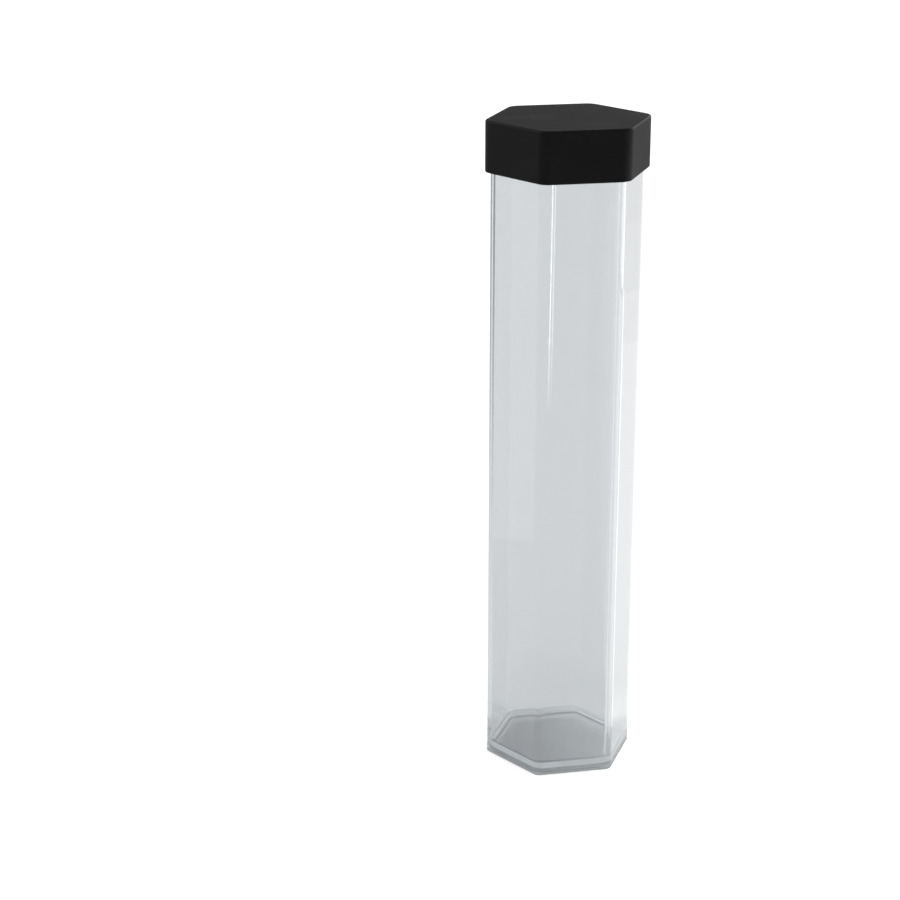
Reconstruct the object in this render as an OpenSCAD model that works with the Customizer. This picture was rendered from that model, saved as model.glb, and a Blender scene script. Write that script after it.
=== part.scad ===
// Hexagonal playmat tube: a clear six-sided sleeve, a clear dished floor bonded into its lower end,
// and a black push-on cap that is pulled off upwards.
// The tube stands on z = 0 with its axis on Z, two of its corners on the X axis and two flats facing +Y and -Y.

/* [Sleeve] */
// Width of the sleeve outside, flat to flat
tube_across_flats = 75.8; // [50:0.2:110]
// Thickness of the sleeve's clear wall
tube_wall = 3; // [2:0.1:4]
// Length of the sleeve from its lower rim to its upper rim
tube_length = 374.4; // [200:0.2:600]
// Radius of the sleeve's corners outside
tube_corner_r = 4.5; // [2:0.1:7]
// Radius of the sleeve's corners inside
bore_corner_r = 3.5; // [1:0.1:6]

/* [Floor] */
// Thickness of the floor where it is flat
floor_thickness = 3.6; // [2:0.1:6]
// Height of the floor's underside above the lower rim
floor_recess = 0.4; // [0.2:0.1:1]
// Radius of the dish where the floor turns up into its lip
floor_dish_r = 4; // [2:0.1:4.5]
// Width of the lip along its top edge
floor_lip = 0.6; // [0.4:0.1:1]
// Radius of the floor's corners outside, rounder than the bore's so that the floor drops in
floor_corner_r = 7.5; // [4:0.1:14]
// Radius of the dish's corners, seen from above
dish_corner_r = 7; // [6:0.1:14]
// Width of the bonded joint between the floor and the sleeve
bond_gap = 0.1; // [0.05:0.01:0.2]

/* [Cap] */
// Height of the cap outside
cap_height = 28.6; // [16:0.2:60]
// Thickness of the cap's skirt
cap_wall = 2.9; // [2:0.1:4]
// Thickness of the cap's top
cap_top = 2.5; // [1.6:0.1:5]
// Radius of the cap's upright corners outside
cap_corner_r = 8.5; // [3:0.1:12]
// Rounding along the cap's top edge
cap_edge_r = 1.2; // [0.6:0.1:2.5]
// Rounding along the cap's lower edge
cap_hem_r = 0.8; // [0.4:0.1:1]
// Clearance between the skirt and the sleeve, on each side
cap_fit = 0.3; // [0.2:0.05:0.6]
// Clearance between the cap's top and the upper rim
cap_seat_gap = 0.1; // [0.05:0.01:0.3]
// Width of the chamfer inside the cap's mouth
cap_lead_in = 0.8; // [0.4:0.1:1.2]

/* [Grip ribs] */
// Ribs on each of the cap's six sides, inside
ribs_per_side = 2; // [1:1:4]
// Radius of the round of a rib
rib_r = 1; // [0.8:0.05:1.1]
// Distance between the ribs of one side
rib_pitch = 22; // [6:0.5:30]
// Clearance between a rib's crest and the sleeve
rib_fit = 0.08; // [0.04:0.01:0.15]
// Length of a rib
rib_length = 18; // [6:0.5:22]

/* [Hidden] */
$fn = 48;

sides = 6;
turn = 360 / sides;
// A cut runs past the face that it opens by this much
overcut = 1;
// Straight steps in the quarter circle of a rounded edge
edge_steps = 6;

bore_across_flats = tube_across_flats - 2 * tube_wall;

plug_across_flats = bore_across_flats - 2 * bond_gap;
dish_across_flats = plug_across_flats - 2 * floor_lip;
floor_top = floor_recess + floor_thickness;
plug_top = floor_top + floor_dish_r;

socket_across_flats = tube_across_flats + 2 * cap_fit;
socket_corner_r = tube_corner_r + cap_fit;
cap_across_flats = socket_across_flats + 2 * cap_wall;
cap_ceiling = tube_length + cap_seat_gap;
cap_crown = cap_ceiling + cap_top;
cap_foot = cap_crown - cap_height;

// A rib's crest stands rib_fit off the sleeve's flat, and its round is sunk in the skirt
rib_axis = tube_across_flats / 2 + rib_fit + rib_r;

clear_plastic = [0.84, 0.87, 0.88, 0.35];
black_plastic = [0.07, 0.07, 0.075];

// Distance from the axis to the centre of a rounded corner
function corner_centre(across_flats, corner_r) = (across_flats / 2 - corner_r) / cos(turn / 2);

// Points of a quarter circle about centre, from angle start onwards
function quarter(centre, r, start) =
    [for (i = [0 : edge_steps]) let (a = start + 90 * i / edge_steps) centre + r * [cos(a), sin(a)]];

// Outline of a hexagon with rounded corners: its straight sides, and a circle in each corner
module rounded_hexagon(across_flats, corner_r) {
    reach = corner_centre(across_flats, corner_r);
    polygon([
        for (k = [0 : sides - 1], s = [-0.5, 0.5])
            reach * [cos(turn * k), sin(turn * k)] + corner_r * [cos(turn * (k + s)), sin(turn * (k + s))]
    ]);
    for (k = [0 : sides - 1])
        rotate(turn * k)
            translate([reach, 0])
                circle(r = corner_r);
}

// Straight column of that outline from low to high
module column(across_flats, corner_r, low, high) {
    translate([0, 0, low])
        linear_extrude(height = high - low)
            rounded_hexagon(across_flats, corner_r);
}

// Column with shaped edges. Its child is the half profile of a corner: x runs outwards from the corner's centre
// and ends at corner_r, y is the height.
module shaped_column(across_flats, corner_r) {
    hull()
        for (k = [0 : sides - 1])
            rotate(turn * k)
                translate([corner_centre(across_flats, corner_r), 0, 0])
                    rotate_extrude()
                        children();
}

// Clear extruded sleeve, open at both ends
module tube_sleeve() {
    color(clear_plastic)
        linear_extrude(height = tube_length)
            difference() {
                rounded_hexagon(tube_across_flats, tube_corner_r);
                rounded_hexagon(bore_across_flats, bore_corner_r);
            }
}

// Clear moulded floor, a shallow dish whose lip runs up the inside of the sleeve
module floor_plug() {
    color(clear_plastic)
        difference() {
            column(plug_across_flats, floor_corner_r, floor_recess, plug_top);
            shaped_column(dish_across_flats, dish_corner_r)
                polygon(concat(
                    [[0, plug_top + overcut], [0, floor_top]],
                    quarter([dish_corner_r - floor_dish_r, plug_top], floor_dish_r, -90),
                    [[dish_corner_r, plug_top + overcut]]
                ));
        }
}

// Outside of the cap, with its top and lower edges rounded
module cap_body() {
    shaped_column(cap_across_flats, cap_corner_r)
        polygon(concat(
            [[0, cap_crown], [0, cap_foot]],
            quarter([cap_corner_r - cap_hem_r, cap_foot + cap_hem_r], cap_hem_r, -90),
            quarter([cap_corner_r - cap_edge_r, cap_crown - cap_edge_r], cap_edge_r, 0)
        ));
}

// Hollow of the cap, which the sleeve's upper end fills, flared at the mouth
module cap_socket() {
    column(socket_across_flats, socket_corner_r, cap_foot - overcut, cap_ceiling);
    shaped_column(socket_across_flats + 2 * cap_lead_in, socket_corner_r + cap_lead_in)
        polygon([
            [0, cap_foot - overcut],
            [socket_corner_r + cap_lead_in, cap_foot - overcut],
            [socket_corner_r + cap_lead_in, cap_foot],
            [socket_corner_r, cap_foot + cap_lead_in],
            [0, cap_foot + cap_lead_in],
        ]);
}

// Upright ribs inside the skirt, which grip the sleeve's flats
module grip_ribs() {
    first = -rib_pitch * (ribs_per_side - 1) / 2;
    for (k = [0 : sides - 1], i = [0 : ribs_per_side - 1])
        rotate(turn * (k + 0.5))
            translate([rib_axis, first + i * rib_pitch, cap_ceiling - rib_length])
                cylinder(r = rib_r, h = rib_length + cap_top / 2);
}

// Black moulded cap
module cap() {
    color(black_plastic) {
        difference() {
            cap_body();
            cap_socket();
        }
        grip_ribs();
    }
}

tube_sleeve();
floor_plug();
cap();
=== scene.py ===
"""Looks of the playmat tube: a clear six-sided sleeve, its clear floor and its black push-on cap.

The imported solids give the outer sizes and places. Each piece is built again here, in the same place,
with finely rounded edges, and gets its finish. A camera at the viewer's place and a plain white studio
complete the scene. Lengths are in metres, +Z is up, and the tube stands at z = 0 with two flats facing
+Y and -Y.
"""

import logging
import math
from dataclasses import dataclass
from enum import Enum
from typing import Iterator, Mapping, Sequence, Union

import bmesh
import bpy
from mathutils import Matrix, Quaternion, Vector

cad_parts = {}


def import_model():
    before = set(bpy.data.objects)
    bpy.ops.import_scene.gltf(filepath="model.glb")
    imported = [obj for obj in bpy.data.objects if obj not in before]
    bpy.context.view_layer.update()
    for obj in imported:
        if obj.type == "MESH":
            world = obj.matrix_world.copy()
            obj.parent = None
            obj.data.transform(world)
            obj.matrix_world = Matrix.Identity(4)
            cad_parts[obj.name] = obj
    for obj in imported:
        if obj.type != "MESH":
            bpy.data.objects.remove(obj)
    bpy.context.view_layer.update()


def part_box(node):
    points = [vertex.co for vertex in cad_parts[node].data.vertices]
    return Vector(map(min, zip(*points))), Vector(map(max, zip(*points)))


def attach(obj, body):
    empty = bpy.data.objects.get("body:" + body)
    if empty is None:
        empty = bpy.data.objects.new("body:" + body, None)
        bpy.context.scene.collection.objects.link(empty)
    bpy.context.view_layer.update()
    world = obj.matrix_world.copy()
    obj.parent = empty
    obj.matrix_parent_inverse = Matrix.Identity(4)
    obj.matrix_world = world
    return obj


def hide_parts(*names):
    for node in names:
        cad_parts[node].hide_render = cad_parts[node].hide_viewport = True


LOG = logging.getLogger("playmat_tube")

MM = 0.001
SIDES = 6
TURN = math.tau / SIDES

# A face this far from the axis, along its own normal, counts as looking fully away from it
FACING_DEPTH = 20 * MM

Number = Union[int, float]
Colour = tuple[float, float, float]


class Body(Enum):
    """The two rigid bodies that the pieces ride on."""

    TUBE = "tube"
    CAP = "cap"


class Ray(Enum):
    """Kinds of ray that see the studio."""

    CAMERA = "Is Camera Ray"
    GLOSSY = "Is Glossy Ray"
    TRANSMISSION = "Is Transmission Ray"


class Side(Enum):
    """The side of a skin that a band shows on."""

    BOTH = "both"
    OUTER = "outer"


class Output(Enum):
    """The node that a tree ends in."""

    MATERIAL = "ShaderNodeOutputMaterial"
    WORLD = "ShaderNodeOutputWorld"


class Value:
    """A number socket of a node tree, on which arithmetic adds Math nodes."""

    def __init__(self, shader: "Shader", socket: bpy.types.NodeSocket) -> None:
        """Keeps the shader that the socket belongs to.

        Args:
            shader: The shader whose tree the new Math nodes go into.
            socket: The output that holds the number.
        """
        self.shader = shader
        self.socket = socket

    def __add__(self, other: "Operand") -> "Value":
        """Sum."""
        return self.shader.math("ADD", self, other)

    def __radd__(self, other: Number) -> "Value":
        """Sum with a plain number first."""
        return self.shader.math("ADD", other, self)

    def __sub__(self, other: "Operand") -> "Value":
        """Difference."""
        return self.shader.math("SUBTRACT", self, other)

    def __rsub__(self, other: Number) -> "Value":
        """Difference with a plain number first."""
        return self.shader.math("SUBTRACT", other, self)

    def __mul__(self, other: "Operand") -> "Value":
        """Product."""
        return self.shader.math("MULTIPLY", self, other)

    def __rmul__(self, other: Number) -> "Value":
        """Product with a plain number first."""
        return self.shader.math("MULTIPLY", other, self)

    def highest(self, other: "Operand") -> "Value":
        """The larger of the two numbers."""
        return self.shader.math("MAXIMUM", self, other)


Operand = Union[Value, Number]
SocketInput = Union[Value, bpy.types.NodeSocket, Number, Sequence[float]]


class Shader:
    """Builds the node tree of one material or of the world."""

    def __init__(self, tree: bpy.types.NodeTree, output: Output = Output.MATERIAL) -> None:
        """Empties the tree.

        Args:
            tree: The node tree to fill.
            output: The kind of output that it ends in.
        """
        self.tree = tree
        self.output = output
        tree.nodes.clear()

    def node(
        self,
        kind: str,
        settings: Mapping[str, object] | None = None,
        sockets: Mapping[Union[str, int], SocketInput] | None = None,
    ) -> bpy.types.Node:
        """Adds one node.

        Args:
            kind: The node's type, such as ShaderNodeTexNoise.
            settings: Its properties, set before its sockets.
            sockets: The values or links of its inputs, by name or number.

        Returns:
            The new node.
        """
        made = self.tree.nodes.new(kind)
        for name, setting in (settings or {}).items():
            setattr(made, name, setting)
        for key, value in (sockets or {}).items():
            self._feed(made.inputs[key], value)
        return made

    def value(
        self,
        kind: str,
        settings: Mapping[str, object] | None = None,
        sockets: Mapping[Union[str, int], SocketInput] | None = None,
        output: Union[str, int] = 0,
    ) -> Value:
        """Adds one node and returns one of its outputs as a number.

        Args:
            kind: The node's type.
            settings: Its properties.
            sockets: The values or links of its inputs.
            output: The output's name or number.

        Returns:
            The output, ready for arithmetic.
        """
        return Value(self, self.node(kind, settings, sockets).outputs[output])

    def math(self, operation: str, first: Operand, second: Operand) -> Value:
        """Adds a Math node.

        Args:
            operation: Its operation.
            first: Its first number.
            second: Its second number.

        Returns:
            The result.
        """
        return self.value("ShaderNodeMath", {"operation": operation}, {0: first, 1: second})

    def ramp(self, number: Value, low: float, high: float, at_low: float, at_high: float) -> Value:
        """Maps a number smoothly from one range to another, and holds it at the ends.

        Args:
            number: The number to map.
            low: Where the change starts.
            high: Where the change ends.
            at_low: The result up to low.
            at_high: The result from high on.

        Returns:
            The mapped number.
        """
        return self.value(
            "ShaderNodeMapRange",
            {"interpolation_type": "SMOOTHSTEP"},
            {"Value": number, "From Min": low, "From Max": high, "To Min": at_low, "To Max": at_high},
        )

    def noise(self, stretch: Sequence[float], detail: float = 2.0) -> Value:
        """Adds noise in the piece's own space.

        Args:
            stretch: How many cells fit in a metre along X, Y and Z.
            detail: How many finer layers are added.

        Returns:
            The noise, about 0.5 on average.
        """
        scaled = self.node("ShaderNodeMapping", None, {"Vector": self.place(), "Scale": stretch}).outputs[0]
        return self.value("ShaderNodeTexNoise", None, {"Vector": scaled, "Scale": 1.0, "Detail": detail})

    def blend(self, share: Value, first: Colour, second: Colour) -> bpy.types.NodeSocket:
        """Mixes two colours.

        Args:
            share: How much of the second colour shows, from 0 to 1.
            first: The colour at 0.
            second: The colour at 1.

        Returns:
            The mixed colour's output.
        """
        mixed = self.node(
            "ShaderNodeMix",
            {"data_type": "RGBA"},
            {"Factor": share, 6: (*first, 1.0), 7: (*second, 1.0)},
        )
        return mixed.outputs[2]

    def bump(self, height: Value, depth: float, strength: float) -> bpy.types.NodeSocket:
        """Turns a height into a normal.

        Args:
            height: The height, from 0 to 1.
            depth: The real depth that a height of 1 stands for.
            strength: How much of it is kept.

        Returns:
            The normal's output.
        """
        sockets = {"Height": height, "Distance": depth, "Strength": strength}
        return self.node("ShaderNodeBump", None, sockets).outputs["Normal"]

    def place(self) -> bpy.types.NodeSocket:
        """The place on the piece, in its own space."""
        return self.node("ShaderNodeTexCoord").outputs["Object"]

    def along(self, direction: Sequence[float]) -> Value:
        """How far a place lies along a direction, in the piece's own space.

        Args:
            direction: The direction, one unit long.

        Returns:
            The distance from the origin.
        """
        sockets = {0: self.place(), 1: direction}
        return self.value("ShaderNodeVectorMath", {"operation": "DOT_PRODUCT"}, sockets, "Value")

    def inside(self) -> Value:
        """One where a face is seen from inside the plastic, and zero elsewhere."""
        return self.value("ShaderNodeNewGeometry", output="Backfacing")

    def away(self) -> Value:
        """How far a face looks away from the axis.

        Returns:
            Its distance from the axis along its normal, negative where it looks towards the axis.
        """
        level = self.node("ShaderNodeMapping", None, {"Vector": self.place(), "Scale": (1.0, 1.0, 0.0)})
        sockets = {0: level.outputs[0], 1: self.node("ShaderNodeTexCoord").outputs["Normal"]}
        seen = self.value("ShaderNodeVectorMath", {"operation": "DOT_PRODUCT"}, sockets, "Value")
        return seen * (1.0 - 2.0 * self.inside())

    def outer(self) -> Value:
        """One on faces that look away from the axis, and zero on those that look towards it."""
        return self.ramp(self.away(), 0.0, FACING_DEPTH, 0.0, 1.0)

    def inner(self) -> Value:
        """One on faces that look towards the axis, and zero on those that look away from it."""
        return self.ramp(self.away() * -1.0, 0.0, FACING_DEPTH, 0.0, 1.0)

    def ray(self, kind: Ray) -> Value:
        """One for rays of a kind, and zero for all others."""
        return self.value("ShaderNodeLightPath", output=kind.value)

    def mix(self, share: Operand, first: bpy.types.Node, second: bpy.types.Node) -> bpy.types.Node:
        """Mixes two finished shaders.

        Args:
            share: How much of the second shows, from 0 to 1.
            first: The shader at 0.
            second: The shader at 1.

        Returns:
            The mixed shader.
        """
        return self.node("ShaderNodeMixShader", None, {0: share, 1: first.outputs[0], 2: second.outputs[0]})

    def surface(self, shader: bpy.types.Node) -> None:
        """Connects the finished shader to the tree's output.

        Args:
            shader: The surface, or the world's background.
        """
        self.node(self.output.value, None, {"Surface": shader.outputs[0]})

    def _feed(self, socket: bpy.types.NodeSocket, value: SocketInput) -> None:
        """Links an output to a socket, or sets the socket's own value.

        Args:
            socket: The input to feed.
            value: The output to link, or the plain value.
        """
        if isinstance(value, Value):
            value = value.socket
        if isinstance(value, bpy.types.NodeSocket):
            self.tree.links.new(value, socket)
        else:
            socket.default_value = value


def new_material(name: str) -> tuple[bpy.types.Material, Shader]:
    """Makes an empty material.

    Args:
        name: The material's name.

    Returns:
        The material and the shader that fills it.
    """
    material = bpy.data.materials.new(name)
    material.use_nodes = True
    return material, Shader(material.node_tree)


@dataclass(frozen=True)
class MattBand:
    """A matt band round a clear piece, such as a sawn rim, or a band of painted light or painted shade.

    Attributes:
        low: Height where the band starts.
        high: Height where it ends.
        colour: The band's colour.
        cover: How much of the clear plastic it hides.
        edge: Width of its soft edges.
        side: The side that it shows on. The outer side is that of the outer faces, seen from outside.
    """

    low: float
    high: float
    colour: Colour
    cover: float = 1.0
    edge: float = 0.3 * MM
    side: Side = Side.OUTER

    def share(self, shader: Shader) -> Value:
        """How much of a place is covered.

        Args:
            shader: The shader of the piece.

        Returns:
            The share, from 0 to cover.
        """
        up = shader.along((0.0, 0.0, 1.0))
        above = shader.ramp(up, self.low - self.edge, self.low + self.edge, 0.0, self.cover)
        below = shader.ramp(up, self.high - self.edge, self.high + self.edge, 1.0, 0.0)
        share = above * below
        if self.side is Side.OUTER:
            share = share * shader.outer() * (1.0 - shader.inside())
        return share

    def matt(self, shader: Shader) -> bpy.types.Node:
        """The matt skin.

        Args:
            shader: The shader of the piece.

        Returns:
            The skin's shader.
        """
        return shader.node("ShaderNodeBsdfDiffuse", None, {"Color": (*self.colour, 1.0)})


@dataclass(frozen=True)
class Bond:
    """The clear bonded joint between floor and sleeve, where light passes across unbent.

    Attributes:
        high: Height of the joint's upper end.
        outward: Whether the bonded faces look away from the axis, as the floor's do.
        edge: Width of its soft upper end.
        tint: Colour that it lets through.
    """

    high: float
    outward: bool
    edge: float = 0.4 * MM
    tint: Colour = (0.955, 0.96, 0.963)

    def share(self, shader: Shader) -> Value:
        """How much of a place is bonded.

        Args:
            shader: The shader of the piece.

        Returns:
            The share, from 0 to 1.
        """
        up = shader.along((0.0, 0.0, 1.0))
        below = shader.ramp(up, self.high - self.edge, self.high + self.edge, 1.0, 0.0)
        if self.outward:
            return below * shader.outer() * shader.inside()
        return below * shader.inner()


@dataclass(frozen=True)
class PaintedCornerShade:
    """Painted shade in the trapped light of the corner towards -X, standing for the dark side of the room.

    Attributes:
        start: Distance towards -X where the painted shade starts.
        full: Distance where it is full.
        low: Height where it starts.
        high: Height where it is full.
        tint: Colour of the painted shade in the trapped light there.
    """

    start: float
    full: float
    low: float
    high: float
    tint: Colour = (0.3, 0.31, 0.32)

    def share(self, shader: Shader) -> Value:
        """How much of the trapped light at a place is painted dark.

        Args:
            shader: The shader of the piece.

        Returns:
            The share, from 0 to 1.
        """
        across = shader.ramp(shader.along((-1.0, 0.0, 0.0)), self.start, self.full, 0.0, 1.0)
        up = shader.along((0.0, 0.0, 1.0))
        return across * shader.ramp(up, self.low, self.high, 0.0, 1.0)


@dataclass(frozen=True)
class ClearPlastic:
    """Polished clear plastic that greys what is seen through it.

    Attributes:
        name: The material's name.
        tint: Colour that each wall lets through.
        refraction: Index of refraction.
        gloss: Roughness of the clean surface.
        handled: Roughness where hands have been.
        clean_gain: How much more light the clean surface lets through.
        smears: Marks of handling in a metre along X, Y and Z.
        smear_detail: Finer layers in those marks.
        smear_levels: Levels of the noise at which a mark starts and is full.
        draw_depth: Depth of the fine upright lines left by the making, zero for a moulded piece.
        draw_lines: Those lines in a metre along X, Y and Z.
        trap_levels: Shares of light turned back at which trapping starts and is full.
        leak: Share of the light trapped in a wall that gets out through it.
        leak_tint: Colour of that light.
        painted_corner_shade: Painted shade in the trapped light of one corner, standing for the dark side
            of the room, if it has it.
        bond: Its bonded joint with another clear piece, if it has one.
        painted_side_shade: Tint at its -X end, painted shade that darkens it towards -X as if light fell
            from +X, if it has it.
        half_width: Distance of its -X and +X ends from the axis.
        bands: The matt bands round it.
    """

    name: str
    tint: Colour = (0.77, 0.788, 0.80)
    refraction: float = 1.49
    gloss: float = 0.008
    handled: float = 0.02
    clean_gain: float = 1.012
    smears: tuple[float, float, float] = (24.0, 24.0, 14.0)
    smear_detail: float = 4.0
    smear_levels: tuple[float, float] = (0.52, 0.72)
    draw_depth: float = 0.0
    draw_lines: tuple[float, float, float] = (420.0, 420.0, 1.6)
    trap_levels: tuple[float, float] = (0.3, 0.6)
    leak: float = 1.0
    leak_tint: Colour = (0.97, 0.98, 0.985)
    painted_corner_shade: PaintedCornerShade | None = None
    bond: Bond | None = None
    painted_side_shade: Colour | None = None
    half_width: float = 45 * MM
    bands: tuple[MattBand, ...] = ()

    def material(self) -> bpy.types.Material:
        """Builds the material.

        Returns:
            The finished material.
        """
        material, shader = new_material(self.name)
        smears = shader.noise(self.smears, self.smear_detail)
        touched = shader.ramp(smears, *self.smear_levels, 0.0, 1.0)
        if self.painted_side_shade is None:
            clean = tuple(min(1.0, part * self.clean_gain) for part in self.tint)
            tint = shader.blend(touched, clean, self.tint)
        else:
            # Painted shade: the tint deepens towards -X, as if light fell from +X
            across = shader.along((-1.0, 0.0, 0.0))
            painted_shade_share = shader.ramp(across, -self.half_width, self.half_width, 0.0, 1.0)
            tint = shader.blend(painted_shade_share, self.tint, self.painted_side_shade)
        sockets = {
            "Base Color": tint,
            "Roughness": touched * (self.handled - self.gloss) + self.gloss,
            "IOR": self.refraction,
            "Transmission Weight": 1.0,
        }
        if self.draw_depth:
            sockets["Normal"] = shader.bump(shader.noise(self.draw_lines), self.draw_depth, 1.0)
        plastic = shader.node("ShaderNodeBsdfPrincipled", None, sockets)
        turned_back = shader.value("ShaderNodeFresnel", None, {"IOR": self.refraction})
        trapped = shader.ramp(turned_back, *self.trap_levels, 0.0, self.leak)
        straight = shader.node("ShaderNodeBsdfTransparent", None, {"Color": (*self.leak_tint, 1.0)})
        # Painted shade: the trapped light of the -X corner goes dark, standing for the dark side of the
        # room
        if self.painted_corner_shade is not None:
            dark = shader.node("ShaderNodeBsdfTransparent", None, {"Color": (*self.painted_corner_shade.tint, 1.0)})
            straight = shader.mix(self.painted_corner_shade.share(shader), straight, dark)
        skin = shader.mix(trapped, plastic, straight)
        if self.bond is not None:
            joint = shader.node("ShaderNodeBsdfTransparent", None, {"Color": (*self.bond.tint, 1.0)})
            skin = shader.mix(self.bond.share(shader), skin, joint)
        for band in self.bands:
            skin = shader.mix(band.share(shader), skin, band.matt(shader))
        shader.surface(skin)
        return material


@dataclass(frozen=True)
class SoftTouchBlack:
    """Black soft-touch plastic with a fine moulded grain.

    Attributes:
        name: The material's name.
        colour: The plastic's colour.
        rubbed: Its colour where it has been handled.
        roughness: Roughness of the clean surface.
        polished: Roughness where it has been handled.
        smears: Marks of handling in a metre along X, Y and Z.
        smear_detail: Finer layers in those marks.
        smear_levels: Levels of the noise at which a mark starts and is full.
        grain: Size of a grain.
        grain_depth: Depth of the grain.
        grain_strength: How much of that depth shows.
        grain_roughness: Roughness that the grain adds.
        refraction: Index of refraction, low because the soft skin hardly shines.
    """

    name: str
    colour: Colour = (0.0035, 0.0037, 0.0038)
    rubbed: Colour = (0.0045, 0.0047, 0.0048)
    roughness: float = 0.58
    polished: float = 0.54
    smears: tuple[float, float, float] = (38.0, 38.0, 38.0)
    smear_detail: float = 5.0
    smear_levels: tuple[float, float] = (0.45, 0.7)
    grain: float = 0.28 * MM
    grain_depth: float = 0.02 * MM
    grain_strength: float = 0.6
    grain_roughness: float = 0.06
    refraction: float = 1.14

    def material(self) -> bpy.types.Material:
        """Builds the material.

        Returns:
            The finished material.
        """
        material, shader = new_material(self.name)
        smears = shader.noise(self.smears, self.smear_detail)
        handled = shader.ramp(smears, *self.smear_levels, 0.0, 1.0)
        cells = 1.0 / self.grain
        grain = shader.noise((cells, cells, cells))
        smooth = handled * (self.polished - self.roughness) + self.roughness
        plastic = shader.node(
            "ShaderNodeBsdfPrincipled",
            None,
            {
                "Base Color": shader.blend(handled, self.colour, self.rubbed),
                "Roughness": smooth + grain * self.grain_roughness,
                "Normal": shader.bump(grain, self.grain_depth, self.grain_strength),
                "IOR": self.refraction,
            },
        )
        shader.surface(plastic)
        return material


@dataclass(frozen=True)
class Ring:
    """One level of a six-sided shell: the outline of a hexagon with rounded corners.

    Attributes:
        across_flats: Width from flat to flat.
        corner_radius: Radius of the corners.
        height: Height of the level.
        rib_height: How far the grip ribs stand in from the flats here.
    """

    across_flats: float
    corner_radius: float
    height: float
    rib_height: float = 0.0

    def moved_in(self, inset: float, height: float) -> "Ring":
        """The same outline, drawn in evenly all round.

        Args:
            inset: How far it is drawn in, or out if negative.
            height: Height of the new level.

        Returns:
            The new ring.
        """
        return Ring(self.across_flats - 2 * inset, self.corner_radius - inset, height, self.rib_height)

    def with_ribs(self, rib_height: float) -> "Ring":
        """The same ring with ribs on its flats."""
        return Ring(self.across_flats, self.corner_radius, self.height, rib_height)


@dataclass(frozen=True)
class RibRow:
    """Upright ribs along one flat, as bulges of the outline.

    Attributes:
        radius: Radius of a rib's round.
        width: Width of the bulge along the flat.
        places: Distances of the ribs from the middle of the flat.
        steps: Straight steps across one rib.
    """

    radius: float
    width: float
    places: tuple[float, ...]
    steps: int = 6

    def bulges(self, rib_height: float) -> Iterator[tuple[float, float]]:
        """Points along a flat.

        Args:
            rib_height: How far the crest stands off the flat.

        Yields:
            The distance along the flat and the distance in from it.
        """
        sunk = math.sqrt(self.radius**2 - self.width**2 / 4)
        for place in self.places:
            for step in range(self.steps + 1):
                along = self.width * (step / self.steps - 0.5)
                crown = math.sqrt(self.radius**2 - along**2) - sunk
                yield place + along, rib_height * crown / (self.radius - sunk)


class Shell:
    """A mesh made of rings that are joined one to the next."""

    ARC_STEPS = 14
    SMOOTH_ANGLE = math.radians(32)
    LARGE_FACES_FIRST = 100

    def __init__(self, name: str, rings: Sequence[Ring], closed: bool, ribs: RibRow | None = None) -> None:
        """Keeps what the mesh is made of.

        Args:
            name: The piece's name.
            rings: The levels, in order along the skin.
            closed: Whether the last ring joins the first. If not, the first and last rings are filled.
            ribs: Ribs along the flats, if the outline has them.
        """
        self.name = name
        self.rings = rings
        self.closed = closed
        self.ribs = ribs

    def outline(self, ring: Ring) -> list[Vector]:
        """Points of one ring, anticlockwise from above.

        Args:
            ring: The level.

        Returns:
            The points.
        """
        reach = (ring.across_flats / 2 - ring.corner_radius) / math.cos(TURN / 2)
        points = []
        for side in range(SIDES):
            corner = TURN * side
            for step in range(self.ARC_STEPS + 1):
                angle = corner + TURN * (step / self.ARC_STEPS - 0.5)
                points.append(
                    Vector((
                        reach * math.cos(corner) + ring.corner_radius * math.cos(angle),
                        reach * math.sin(corner) + ring.corner_radius * math.sin(angle),
                        ring.height,
                    ))
                )
            points.extend(self._along_flat(ring, corner + TURN / 2))
        return points

    def _along_flat(self, ring: Ring, facing: float) -> Iterator[Vector]:
        """Points of the ribs on one flat.

        Args:
            ring: The level.
            facing: The angle that the flat faces, in radians.

        Yields:
            The points, in order along the flat.
        """
        if self.ribs is None:
            return
        outwards = Vector((math.cos(facing), math.sin(facing), 0.0))
        onwards = Vector((-math.sin(facing), math.cos(facing), 0.0))
        for along, inset in self.ribs.bulges(ring.rib_height):
            point = outwards * (ring.across_flats / 2 - inset) + onwards * along
            point.z = ring.height
            yield point

    def build(self) -> bpy.types.Object:
        """Builds the mesh.

        Returns:
            The new object, at the origin.
        """
        mesh = bmesh.new()
        loops = [[mesh.verts.new(point) for point in self.outline(ring)] for ring in self.rings]
        pairs = list(zip(loops, loops[1:]))
        if self.closed:
            pairs.append((loops[-1], loops[0]))
        else:
            mesh.faces.new(loops[0])
            mesh.faces.new(loops[-1])
        for lower, upper in pairs:
            for here in range(len(lower)):
                after = (here + 1) % len(lower)
                mesh.faces.new((lower[here], lower[after], upper[after], upper[here]))
        bmesh.ops.recalc_face_normals(mesh, faces=mesh.faces)
        data = bpy.data.meshes.new(self.name)
        mesh.to_mesh(data)
        mesh.free()
        data.shade_smooth()
        data.set_sharp_from_angle(angle=self.SMOOTH_ANGLE)
        piece = bpy.data.objects.new(self.name, data)
        bpy.context.scene.collection.objects.link(piece)
        weighted = piece.modifiers.new("flat faces stay flat", "WEIGHTED_NORMAL")
        weighted.keep_sharp = True
        weighted.weight = self.LARGE_FACES_FIRST
        return piece


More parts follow.
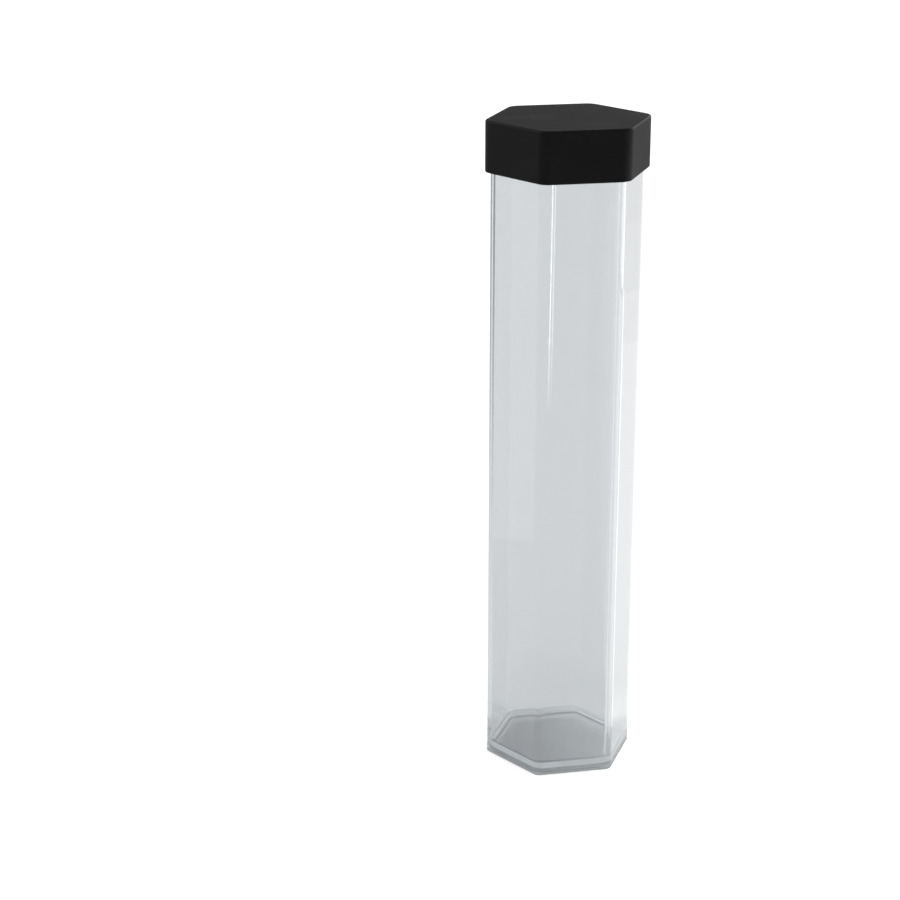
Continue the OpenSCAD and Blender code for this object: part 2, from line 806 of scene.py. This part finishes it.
def rounded(
    base: Ring, radius: float, height: float, start: float, end: float, steps: int = 6
) -> list[Ring]:
    """Levels of a rounded edge.

    Args:
        base: The outline that the edge rounds off.
        radius: Radius of the rounding. Negative where the piece lies outside the outline, as round a hole.
        height: Height of the rounding's centre.
        start: Angle above the horizontal where it starts, in degrees.
        end: Angle where it ends.
        steps: Straight steps between them.

    Returns:
        The levels from start to end.
    """
    levels = []
    for step in range(steps + 1):
        angle = math.radians(start + (end - start) * step / steps)
        level = height + abs(radius) * math.sin(angle)
        levels.append(base.moved_in(radius * (1 - math.cos(angle)), level))
    return levels


@dataclass
class TubeSleeve:
    """The clear six-sided wall, open at both ends.

    Attributes:
        across_flats: Width outside.
        length: Length from rim to rim.
        wall: Thickness of the wall.
        corner_radius: Radius of the corners outside.
        bore_radius: Radius of the corners inside.
        rim_radius: Rounding of the rims.
        bond_height: Height of the joint with the floor.
        sawn_height: Height of the matt lower rim.
        foot_shade_height: Height of the band of painted shade at the foot, darker where the sleeve meets
            the ground.
        painted_corner_shade: The corner whose trapped light shows painted shade as dark lines.
    """

    across_flats: float
    length: float
    wall: float = 3.0 * MM
    corner_radius: float = 4.5 * MM
    bore_radius: float = 3.5 * MM
    rim_radius: float = 0.15 * MM
    bond_height: float = 7.6 * MM
    sawn_height: float = 0.25 * MM
    foot_shade_height: float = 1.9 * MM
    painted_corner_shade: PaintedCornerShade = PaintedCornerShade(start=28 * MM, full=36 * MM, low=40 * MM, high=400 * MM)

    NODE = "tube_sleeve"

    def bore(self) -> Ring:
        """The outline of the hollow inside."""
        return Ring(self.across_flats - 2 * self.wall, self.bore_radius, 0.0)

    def build(self) -> bpy.types.Object:
        """Builds and dresses the sleeve.

        Returns:
            The piece.
        """
        outside = Ring(self.across_flats, self.corner_radius, 0.0)
        low = self.rim_radius
        high = self.length - self.rim_radius
        rings = [
            *rounded(outside, self.rim_radius, low, -90, 0),
            *rounded(outside, self.rim_radius, high, 0, 90),
            *rounded(self.bore(), -self.rim_radius, high, 90, 0),
            *rounded(self.bore(), -self.rim_radius, low, 0, -90),
        ]
        piece = Shell("clear_sleeve", rings, closed=True).build()
        return dress(piece, self.finish().material(), Body.TUBE, self.NODE)

    def finish(self) -> ClearPlastic:
        """Describes the sleeve's finish.

        Returns:
            Clear plastic with faint draw lines, a sawn lower rim and a scuffed foot.
        """
        sawn = MattBand(
            low=-MM, high=self.sawn_height, colour=(0.6, 0.61, 0.62), edge=0.1 * MM, side=Side.BOTH
        )
        # Painted shade: a dark band at the foot, where the sleeve meets the ground
        painted_foot_shade = MattBand(
            low=-MM, high=self.foot_shade_height, colour=(0.2, 0.21, 0.215), cover=0.45, edge=0.5 * MM
        )
        return ClearPlastic(
            "clear_sleeve",
            draw_depth=0.0003 * MM,
            painted_corner_shade=self.painted_corner_shade,
            bond=Bond(self.bond_height, outward=False),
            bands=(sawn, painted_foot_shade),
        )


@dataclass
class FloorPlug:
    """The clear floor, a shallow dish whose lip runs up the inside of the sleeve.

    Attributes:
        across_flats: Width outside.
        low: Height of the underside.
        high: Height of the lip's top.
        corner_radius: Radius of the corners outside.
        lip: Width of the lip's top.
        lip_radius: Rounding of the lip's outer edge.
        dish_corner: Radius of the dish's corners, seen from above.
        dish_radius: Radius where the floor turns up into the lip.
        edge_radius: Rounding of the lower edge.
        shade_band_height: Height of the dark part of the dried glue, from the underside.
        light_band_height: Height of its milky part.
        lip_free: Height at the lip's top that isn't bonded.
    """

    across_flats: float
    low: float
    high: float
    corner_radius: float = 7.5 * MM
    lip: float = 0.6 * MM
    lip_radius: float = 0.2 * MM
    dish_corner: float = 7.0 * MM
    dish_radius: float = 4.0 * MM
    edge_radius: float = 0.3 * MM
    # shade_band_height: Height of the lower band of painted shade, from the underside, standing for light
    # trapped in the floor's edge.
    shade_band_height: float = 2.8 * MM
    # light_band_height: Height of the band of painted light above it, standing for light seen through the
    # lip.
    light_band_height: float = 3.7 * MM
    lip_free: float = 0.4 * MM

    NODE = "floor_plug"
    DISH_STEPS = 12

    def build(self) -> bpy.types.Object:
        """Builds and dresses the floor.

        Returns:
            The piece.
        """
        outside = Ring(self.across_flats, self.corner_radius, 0.0)
        dish = Ring(self.across_flats - 2 * self.lip, self.dish_corner, 0.0)
        turn_up = []
        for step in range(self.DISH_STEPS + 1):
            angle = math.radians(90 * step / self.DISH_STEPS)
            level = self.high - self.dish_radius * math.sin(angle)
            turn_up.append(dish.moved_in(self.dish_radius * (1 - math.cos(angle)), level))
        rings = [
            *rounded(outside, self.edge_radius, self.low + self.edge_radius, -90, 0),
            *rounded(outside, self.lip_radius, self.high - self.lip_radius, 0, 90),
            *turn_up,
        ]
        piece = Shell("clear_floor", rings, closed=False).build()
        return dress(piece, self.finish().material(), Body.TUBE, self.NODE)

    def finish(self) -> ClearPlastic:
        """Describes the floor's finish.

        Returns:
            Clear plastic with a band of painted light round it above a band of painted shade, and painted
            shade that deepens towards -X.
        """
        middle = self.low + self.shade_band_height
        # Painted shade: a dark band low round the floor's edge, standing for light trapped there
        dark = MattBand(low=self.low - MM, high=middle, colour=(0.25, 0.26, 0.265), cover=0.3)
        # Painted light: a pale band above it, standing for light seen through the lip
        painted_light_band = MattBand(
            low=middle, high=middle + self.light_band_height, colour=(0.74, 0.755, 0.76), cover=0.95
        )
        return ClearPlastic(
            "clear_floor",
            tint=(0.86, 0.875, 0.885),
            gloss=0.2,
            handled=0.24,
            leak_tint=(0.94, 0.95, 0.955),
            bond=Bond(self.high - self.lip_free, outward=True),
            # Painted shade: darker towards -X
            painted_side_shade=(0.56, 0.575, 0.59),
            bands=(dark, painted_light_band),
        )


@dataclass
class PushOnCap:
    """The black cap with its deep skirt.

    Attributes:
        across_flats: Width outside.
        low: Height of the lower edge.
        high: Height of the top.
        wall: Thickness of the skirt.
        top: Thickness of the top.
        corner_radius: Radius of the upright corners outside.
        socket_radius: Radius of the corners inside.
        edge_radius: Rounding of the top edge.
        hem_radius: Rounding of the lower edge.
        lead_in: Chamfer inside the mouth.
        rib_height: How far the grip ribs stand off the skirt.
        rib_radius: Radius of a rib's round.
        rib_pitch: Distance between the ribs of one side.
        rib_length: Length of a rib.
        finish: The cap's plastic.
    """

    across_flats: float
    low: float
    high: float
    wall: float = 2.9 * MM
    top: float = 2.5 * MM
    corner_radius: float = 8.5 * MM
    socket_radius: float = 4.8 * MM
    edge_radius: float = 1.2 * MM
    hem_radius: float = 0.8 * MM
    lead_in: float = 0.8 * MM
    rib_height: float = 0.22 * MM
    rib_radius: float = 1.0 * MM
    rib_pitch: float = 22.0 * MM
    rib_length: float = 18.0 * MM
    finish: SoftTouchBlack = SoftTouchBlack("soft_black")

    NODE = "cap"

    def ribs(self) -> RibRow:
        """Works out the grip ribs of one side.

        Returns:
            The ribs, whose rounds are sunk in the skirt.
        """
        sunk = self.rib_radius - self.rib_height
        width = 2 * math.sqrt(self.rib_radius**2 - sunk**2)
        return RibRow(self.rib_radius, width, (-self.rib_pitch / 2, self.rib_pitch / 2))

    def build(self) -> bpy.types.Object:
        """Builds and dresses the cap.

        Returns:
            The piece.
        """
        outside = Ring(self.across_flats, self.corner_radius, 0.0)
        socket = Ring(self.across_flats - 2 * self.wall, self.socket_radius, 0.0)
        ceiling = self.high - self.top
        rib_foot = socket.moved_in(0.0, ceiling - self.rib_length)
        rings = [
            socket.moved_in(0.0, ceiling).with_ribs(self.rib_height),
            rib_foot.with_ribs(self.rib_height),
            rib_foot,
            socket.moved_in(0.0, self.low + self.lead_in),
            socket.moved_in(-self.lead_in, self.low),
            *rounded(outside, self.hem_radius, self.low + self.hem_radius, -90, 0),
            *rounded(outside, self.edge_radius, self.high - self.edge_radius, 0, 90, steps=10),
        ]
        piece = Shell("black_cap", rings, closed=False, ribs=self.ribs()).build()
        return dress(piece, self.finish.material(), Body.CAP, self.NODE)


def dress(
    piece: bpy.types.Object, material: bpy.types.Material, body: Body, node: str
) -> bpy.types.Object:
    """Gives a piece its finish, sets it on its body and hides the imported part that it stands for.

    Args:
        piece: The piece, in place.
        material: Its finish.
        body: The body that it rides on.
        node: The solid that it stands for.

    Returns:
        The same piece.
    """
    piece.data.materials.append(material)
    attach(piece, body.value)
    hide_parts(node)
    return piece


@dataclass(frozen=True)
class AreaLamp:
    """A flat lamp that faces a point.

    Attributes:
        name: The lamp's name.
        place: Its centre.
        target: The point that it faces.
        width: Its width.
        height: Its height.
        radiance: Its brightness as a surface, where 1 is white.
        lean: Turn about its own axis, in degrees.
        lights: Whether it lights matt surfaces, also through clear plastic, instead of showing in gloss.
        spread: Angle of the cone that the grid on it keeps its light to, in degrees. An open lamp has 180.
    """

    name: str
    place: tuple[float, float, float]
    target: tuple[float, float, float]
    width: float
    height: float
    radiance: float
    lean: float = 0.0
    lights: bool = False
    spread: float = 180.0

    def grid_share(self) -> float:
        """Works out how much light passes the lamp's grid.

        Returns:
            The share of an open lamp's light, at the same brightness straight ahead.
        """
        if self.spread >= 180.0:
            return 1.0
        half = math.radians(self.spread / 2)
        return 1.0 - half / math.tan(half)

    def build(self) -> bpy.types.Object:
        """Builds the lamp.

        Returns:
            The lamp.
        """
        data = bpy.data.lights.new(self.name, "AREA")
        data.shape = "RECTANGLE"
        data.size = self.width
        data.size_y = self.height
        data.spread = math.radians(self.spread)
        data.energy = self.radiance * self.width * self.height * math.pi * self.grid_share()
        lamp = bpy.data.objects.new(self.name, data)
        lamp.location = self.place
        facing = Vector(self.target) - Vector(self.place)
        turned = Quaternion((0.0, 0.0, 1.0), math.radians(self.lean))
        lamp.rotation_euler = (facing.to_track_quat("-Z", "Y") @ turned).to_euler()
        lamp.visible_camera = False
        lamp.visible_transmission = self.lights
        lamp.visible_glossy = not self.lights
        lamp.visible_diffuse = self.lights
        bpy.context.scene.collection.objects.link(lamp)
        return lamp


@dataclass(frozen=True)
class FadingStrip:
    """A thin upright strip of light that fades towards its foot: lamps of several lengths, one top.

    Attributes:
        name: The strip's name.
        place: Where it stands, in plan.
        target: The point that it faces, in plan.
        steps: Height of each lamp's foot, with the lamp's brightness.
        top: Height of the upper end.
        middle: Height at which the leaning strip stands over its place.
        width: Its width.
        lean: Turn about its own axis, in degrees.
        apart: Distance from one lamp to the next, because lamps in one plane hide one another.
    """

    name: str
    place: tuple[float, float]
    target: tuple[float, float]
    steps: tuple[tuple[float, float], ...]
    top: float = 0.352
    middle: float = 0.2085
    width: float = 0.0009
    lean: float = -0.36
    apart: float = 0.001

    def lamps(self) -> Iterator[AreaLamp]:
        """Makes the lamps.

        Yields:
            Each lamp, from the shortest on.
        """
        facing = Vector((*self.target, 0.0)) - Vector((*self.place, 0.0))
        facing.normalize()
        sideways = Vector((0.0, 0.0, 1.0)).cross(-facing)
        for number, (foot, radiance) in enumerate(self.steps):
            height = (self.top + foot) / 2
            drift = (self.middle - height) * math.tan(math.radians(self.lean))
            centre = Vector((*self.place, height)) + facing * self.apart * number + sideways * drift
            yield AreaLamp(
                f"{self.name} {number}",
                tuple(centre),
                tuple(centre + facing),
                self.width,
                self.top - foot,
                radiance,
                self.lean,
            )


@dataclass(frozen=True)
class Studio:
    """The white floor, the white surroundings and the lamps.

    Attributes:
        floor_side: Side of the square floor.
        floor_drop: How far the floor lies below the tube, so that it shares no plane with the lower rim.
        floor_white: Share of light that the floor throws back.
        floor_lift: Brightness added to the floor where the camera sees it.
        mirror_lift: Brightness added where it is seen in gloss or through clear plastic.
        fill: Brightness of the surroundings.
        gloss_fill: Brightness of the surroundings in gloss.
    """

    floor_side: float = 12.0
    floor_drop: float = 0.05 * MM
    floor_white: float = 0.9
    floor_lift: float = 0.3
    mirror_lift: float = 0.1
    fill: float = 1.0
    gloss_fill: float = 0.8

    def build(self) -> None:
        """Builds the floor, the world and the lamps."""
        self._floor()
        self._world()
        for lamp in self._lamps():
            lamp.build()

    def _floor(self) -> None:
        """A plain white floor that keeps the object's shadow."""
        half = self.floor_side / 2
        mesh = bmesh.new()
        corners = ((-half, -half), (half, -half), (half, half), (-half, half))
        mesh.faces.new([mesh.verts.new((x, y, -self.floor_drop)) for x, y in corners])
        data = bpy.data.meshes.new("floor")
        mesh.to_mesh(data)
        mesh.free()
        material, shader = new_material("white_floor")
        mirrored = shader.ray(Ray.GLOSSY).highest(shader.ray(Ray.TRANSMISSION))
        lift = shader.ray(Ray.CAMERA) * self.floor_lift + mirrored * self.mirror_lift
        white = shader.node(
            "ShaderNodeBsdfPrincipled",
            None,
            {
                "Base Color": (self.floor_white, self.floor_white, self.floor_white, 1.0),
                "Roughness": 1.0,
                "Specular IOR Level": 0.0,
                "Emission Color": shader.blend(lift, (0.0, 0.0, 0.0), (1.0, 1.0, 1.0)),
                "Emission Strength": 1.0,
            },
        )
        shader.surface(white)
        data.materials.append(material)
        floor = bpy.data.objects.new("floor", data)
        bpy.context.scene.collection.objects.link(floor)

    def _world(self) -> None:
        """Plain white surroundings."""
        world = bpy.data.worlds.new("studio")
        bpy.context.scene.world = world
        world.use_nodes = True
        shader = Shader(world.node_tree, Output.WORLD)
        strength = shader.ray(Ray.GLOSSY) * (self.gloss_fill - self.fill) + self.fill
        sockets = {"Color": (1.0, 1.0, 1.0, 1.0), "Strength": strength}
        shader.surface(shader.node("ShaderNodeBackground", None, sockets))

    def _lamps(self) -> list[AreaLamp]:
        """Lists the lamps, those that serve one part of the tube together.

        Returns:
            The lamps. No two lie in one plane, because such lamps hide one another.
        """
        return [
            # White band down the upper right corner, and the pale left side
            AreaLamp("right box", (0.15, -0.1095, 0.2955), (0.0, -0.1095, 0.2955), 0.097, 0.079, 4.0),
            AreaLamp(
                "far right box",
                (0.151, -0.013, 0.2955),
                (0.0, -0.0368, 0.3283),
                0.096,
                0.079,
                5.3,
                spread=76,
            ),
            AreaLamp("left box", (-0.3, 0.174, 0.266), (0.0, 0.174, 0.266), 0.253, 0.469, 0.45),
            # Double bright line down the upper left corner
            *FadingStrip(
                "strip",
                (0.10695, -0.5375),
                (-0.018, -0.038),
                ((0.112, 2.5), (0.082, 3.5), (0.062, 3.0)),
            ).lamps(),
            *FadingStrip(
                "faint strip",
                (0.1091, -0.5375),
                (-0.016, -0.038),
                ((0.112, 1.2), (0.09, 2.0), (0.062, 1.8)),
            ).lamps(),
            # Pale right side, brighter downwards
            AreaLamp("low card", (0.064, -0.0235, 0.12), (0.0, -0.0235, 0.12), 0.113, 0.24, 0.13),
            AreaLamp("mid card", (0.066, -0.0235, 0.135), (0.0, -0.0235, 0.135), 0.113, 0.27, 0.11),
            AreaLamp("high card", (0.068, -0.0235, 0.155), (0.0, -0.0235, 0.155), 0.113, 0.31, 0.08),
            # Bright line down the lower right corner, and the soft slope of light before it
            AreaLamp("corner line", (0.058, -0.0175, 0.1375), (0.0, -0.0175, 0.1375), 0.037, 0.275, 0.35),
            AreaLamp(
                "edge line",
                (0.062, -0.0027, 0.1375),
                (0.022, -0.036, 0.1375),
                0.011,
                0.275,
                1.0,
                spread=80,
            ),
            AreaLamp("corner glow", (0.06, -0.067, 0.1375), (0.0, -0.067, 0.1375), 0.062, 0.275, 2.2),
            AreaLamp("near slope", (0.035, -0.095, 0.17), (-0.065, -0.1212, 0.17), 0.056, 0.34, 2.6),
            AreaLamp("mid slope", (0.054, -0.168, 0.17), (-0.046, -0.1942, 0.17), 0.095, 0.34, 1.3),
            AreaLamp("far slope", (0.089, -0.303, 0.17), (-0.011, -0.3292, 0.17), 0.184, 0.34, 0.6),
            AreaLamp("end slope", (0.15, -0.536, 0.17), (0.05, -0.5622, 0.17), 0.298, 0.34, 0.2),
            # Light on the painted bands at the right of the floor
            AreaLamp(
                "base glow",
                (0.09, -0.02, 0.03),
                (0.03, -0.01, 0.002),
                0.12,
                0.06,
                2.0,
                lights=True,
                spread=76,
            ),
            # Sheen on the cap
            AreaLamp("back box", (0.52, 0.3, 0.52), (0.03, 0.0, 0.36), 0.5, 0.3, 5.5),
            AreaLamp("cap side", (-0.5, 0.2, 0.7), (-0.03, 0.0, 0.36), 0.5, 0.5, 4.5),
        ]


@dataclass(frozen=True)
class Viewpoint:
    """The camera at the viewer's place.

    Attributes:
        place: Where the camera stands.
        heading: Direction of view seen from above, in degrees from +Y towards +X.
        dip: Angle of view below the horizontal, in degrees.
        lens: Focal length in millimetres on a square sensor.
        sensor: Side of that sensor in millimetres.
    """

    place: tuple[float, float, float] = (-287.1 * MM, -1116.7 * MM, 580.8 * MM)
    heading: float = 11.215
    dip: float = 18.931
    lens: float = 85.199
    sensor: float = 36.0

    def build(self) -> bpy.types.Object:
        """Builds the camera and makes it the scene's own.

        Returns:
            The camera.
        """
        data = bpy.data.cameras.new("viewpoint")
        data.lens = self.lens
        data.sensor_width = self.sensor
        camera = bpy.data.objects.new("viewpoint", data)
        camera.location = self.place
        level = math.cos(math.radians(self.dip))
        forward = Vector((
            math.sin(math.radians(self.heading)) * level,
            math.cos(math.radians(self.heading)) * level,
            -math.sin(math.radians(self.dip)),
        ))
        camera.rotation_euler = forward.to_track_quat("-Z", "Y").to_euler()
        bpy.context.scene.collection.objects.link(camera)
        bpy.context.scene.camera = camera
        return camera


def main() -> None:
    """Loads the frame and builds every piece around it."""
    logging.basicConfig(level=logging.INFO, format="%(name)s: %(message)s")
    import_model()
    bpy.context.scene.view_settings.view_transform = "Standard"
    Viewpoint().build()
    Studio().build()

    low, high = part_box(TubeSleeve.NODE)
    sleeve = TubeSleeve(across_flats=high.y - low.y, length=high.z - low.z)
    LOG.info("built %s", sleeve.build().name)
    low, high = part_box(FloorPlug.NODE)
    floor = FloorPlug(across_flats=high.y - low.y, low=low.z, high=high.z)
    LOG.info("built %s", floor.build().name)
    low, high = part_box(PushOnCap.NODE)
    cap = PushOnCap(across_flats=high.y - low.y, low=low.z, high=high.z)
    LOG.info("built %s", cap.build().name)


if __name__ == "__main__":
    main()
